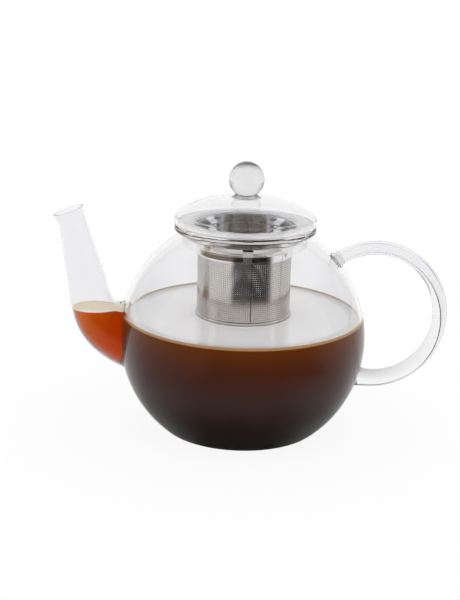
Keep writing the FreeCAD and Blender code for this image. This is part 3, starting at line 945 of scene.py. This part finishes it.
# Basket straps: three bent strips that carry the basket. Each is welded to the band, lies along the
# shoulder and collar, and hooks through a slot with an upturned tongue behind it, painted near black
# as shade so that the slot looks dark.
def swept(name, outline, start, sweep, steps):
    """A part turn of a closed outline of radius and height, from one angle in degrees."""
    form = bmesh.new()
    rings = []
    for step in range(steps + 1):
        bearing = math.radians(start + sweep * step / steps)
        rings.append([rolled(form, radius, bearing, height) for radius, height in outline])
    skin(form, rings, closed=False)
    form.faces.new(rings[0])
    form.faces.new(rings[-1])
    return mesh_object(name, form, 30)


def collar_at(height):
    """The collar's outer radius at a height."""
    share = (height - shoulder_top) / (seat - flange_bend - shoulder_top)
    return collar_foot + (collar_radius - collar_foot) * share


strap_sheet = 0.4 * MM
strap_top = 117.4 * MM
strap_foot = strap_top - strap_sheet
strap_angle = 10.6
strap_corner = 0.25 * MM
tongue_gap = 1.2 * MM
tongue_top = 121.0 * MM
tongue_inside = collar_at(strap_top) - sheet - tongue_gap
tongue_outside = tongue_inside + strap_sheet
strap_outside = band_radius + strap_sheet
strap_outline = [
    (tongue_inside, tongue_top), (tongue_inside, strap_foot), (collar_at(strap_foot), strap_foot),
    (collar_foot, shoulder_top), (band_radius, shoulder_low), (band_radius, band_low),
    (strap_outside, band_low), (strap_outside, shoulder_low - strap_corner),
    (collar_foot + strap_sheet, shoulder_top - strap_corner),
    (collar_at(strap_top) + strap_sheet, strap_top),
    (tongue_outside, strap_top), (tongue_outside, tongue_top)]
strap_steel = steel("strap_steel", (0.80, 0.78, 0.75, 1), 0.06, 0.05)
strap_shade = steel("strap_shade", (0.03, 0.03, 0.03, 1), 0.3, 0.05)
for side, turn in strap_turns.items():
    strap = swept(f"strap_{side}", strap_outline, turn - strap_angle / 2, strap_angle, 8)
    strap.data.materials.append(strap_steel)
    strap.data.materials.append(strap_shade)
    for face in strap.data.polygons:
        # Painted shade: the tongue's faces behind the slot get the near-black steel.
        behind = math.hypot(face.center.x, face.center.y) < tongue_outside + strap_sheet
        face.material_index = int(behind and face.center.z > strap_foot - strap_sheet)
    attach(strap, "infuser")
    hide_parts(f"basket_strap_{side}")

# Lid: a blown dome with a rounded rim and an inner skirt, and a solid ball knob fused on top, all of
# borosilicate glass. The ledge between rim and skirt is ground, so it is cloudy.
lid_seat = 127.3 * MM
lid_middle = 130.0 * MM
lid_radius = 42.85 * MM
lid_wall = 1.2 * MM
edge_round = 5.0 * MM
foot_round = 1.5 * MM
dome_top = 144.6 * MM
rim_inside = 41.3 * MM
rim_round = 1.0 * MM
ledge_top = 128.0 * MM
skirt_radius = 31.0 * MM
skirt_inside = 30.2 * MM
skirt_low = 121.5 * MM
skirt_round = 0.4 * MM
knob_radius = 10.7 * MM
knob_middle = (0, 154.5 * MM)
knob_neck = 6.2 * MM
neck_swell = 0.05 * MM
neck_step = 0.3 * MM
knob_foot = 7.6 * MM
foot_height = 0.5 * MM
foot_gap = 0.3
bead_round = 0.45 * MM
bead_drop = 0.25 * MM
pip_radius = 7.0 * MM
pip_drop = 1.5 * MM
edge_middle = (lid_radius - edge_round, lid_middle)
dome_rise = dome_top - lid_middle
dome_arc = (edge_middle[0] ** 2 + dome_rise**2 - edge_round**2) / (2 * (dome_rise - edge_round))
dome_middle = (0, dome_top - dome_arc)
dome_angle = math.degrees(math.atan2(lid_middle - dome_middle[1], edge_middle[0]))
foot_angle = math.degrees(math.acos(knob_foot / dome_arc)) - foot_gap
neck_angle = -math.degrees(math.acos(knob_neck / knob_radius))
inner_dome = dome_arc - lid_wall
inner_edge = edge_round - lid_wall
inner_angle = math.degrees(math.acos((rim_inside - edge_middle[0]) / inner_edge))
pip_angle = math.degrees(math.acos(pip_radius / inner_dome))
knob_line = arc(knob_middle, knob_radius, 90, neck_angle, 48)
foot_top = dome_top + foot_height
lid_outline = [(0, knob_line[0][1]), *knob_line[1:]]
lid_outline += [(knob_neck + neck_swell, knob_line[-1][1] - neck_step)]
lid_outline += [(knob_neck + 2 * neck_swell, foot_top + bead_drop)]
lid_outline += arc((knob_foot - bead_round, foot_top - bead_drop), bead_round, 80, -20, 6)
lid_outline += arc(dome_middle, dome_arc, foot_angle, dome_angle, 36)
lid_outline += arc(edge_middle, edge_round, dome_angle, 0, 16)[1:]
lid_outline += arc((lid_radius - foot_round, lid_seat + foot_round), foot_round, 0, -90, 8)
lid_outline += [(skirt_radius + skirt_round, lid_seat), (skirt_radius, lid_seat - skirt_round)]
lid_outline += arc((skirt_radius - skirt_round, skirt_low + skirt_round), skirt_round, 0, -180, 8)
lid_outline += arc((skirt_inside + skirt_round, ledge_top - skirt_round), skirt_round, 180, 90, 5)
lid_outline += arc((rim_inside - rim_round, ledge_top + rim_round), rim_round, -90, 0, 6)
lid_outline += arc(edge_middle, inner_edge, inner_angle, dome_angle, 10)
lid_outline += arc(dome_middle, inner_dome, dome_angle, pip_angle, 34)[1:]
for share in (0.97, 0.93, 0.85, 0.7, 0.5, 0.25, 0.0):
    lid_outline += [(pip_radius * share, dome_top - lid_wall - pip_drop * (1 - share**4))]
lid = turned("lid", lid_outline, 192, 40)

rim_tint = (0.985, 0.985, 0.985, 1)
lid.data.materials.append(glass("lid_glass", (0.945, 0.945, 0.952, 1), white))
lid.data.materials.append(glass("knob_glass", (0.84, 0.84, 0.85, 1), white))
lid.data.materials.append(glass("rim_glass", rim_tint, white))
lid.data.materials.append(glass("seat_glass", rim_tint, white, 0.8))
dome_part, knob_part, rim_part, seat_part = range(4)
for face in lid.data.polygons:
    reach = math.hypot(face.center.x, face.center.y)
    if face.center.z > foot_top:
        face.material_index = knob_part
    elif face.center.z < ledge_top + rim_round / 2 and skirt_radius < reach < rim_inside:
        face.material_index = seat_part
    elif face.center.z < lid_middle:
        face.material_index = rim_part
    else:
        face.material_index = dome_part
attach(lid, "lid")
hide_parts("lid_dome", "lid_collar", "lid_knob")
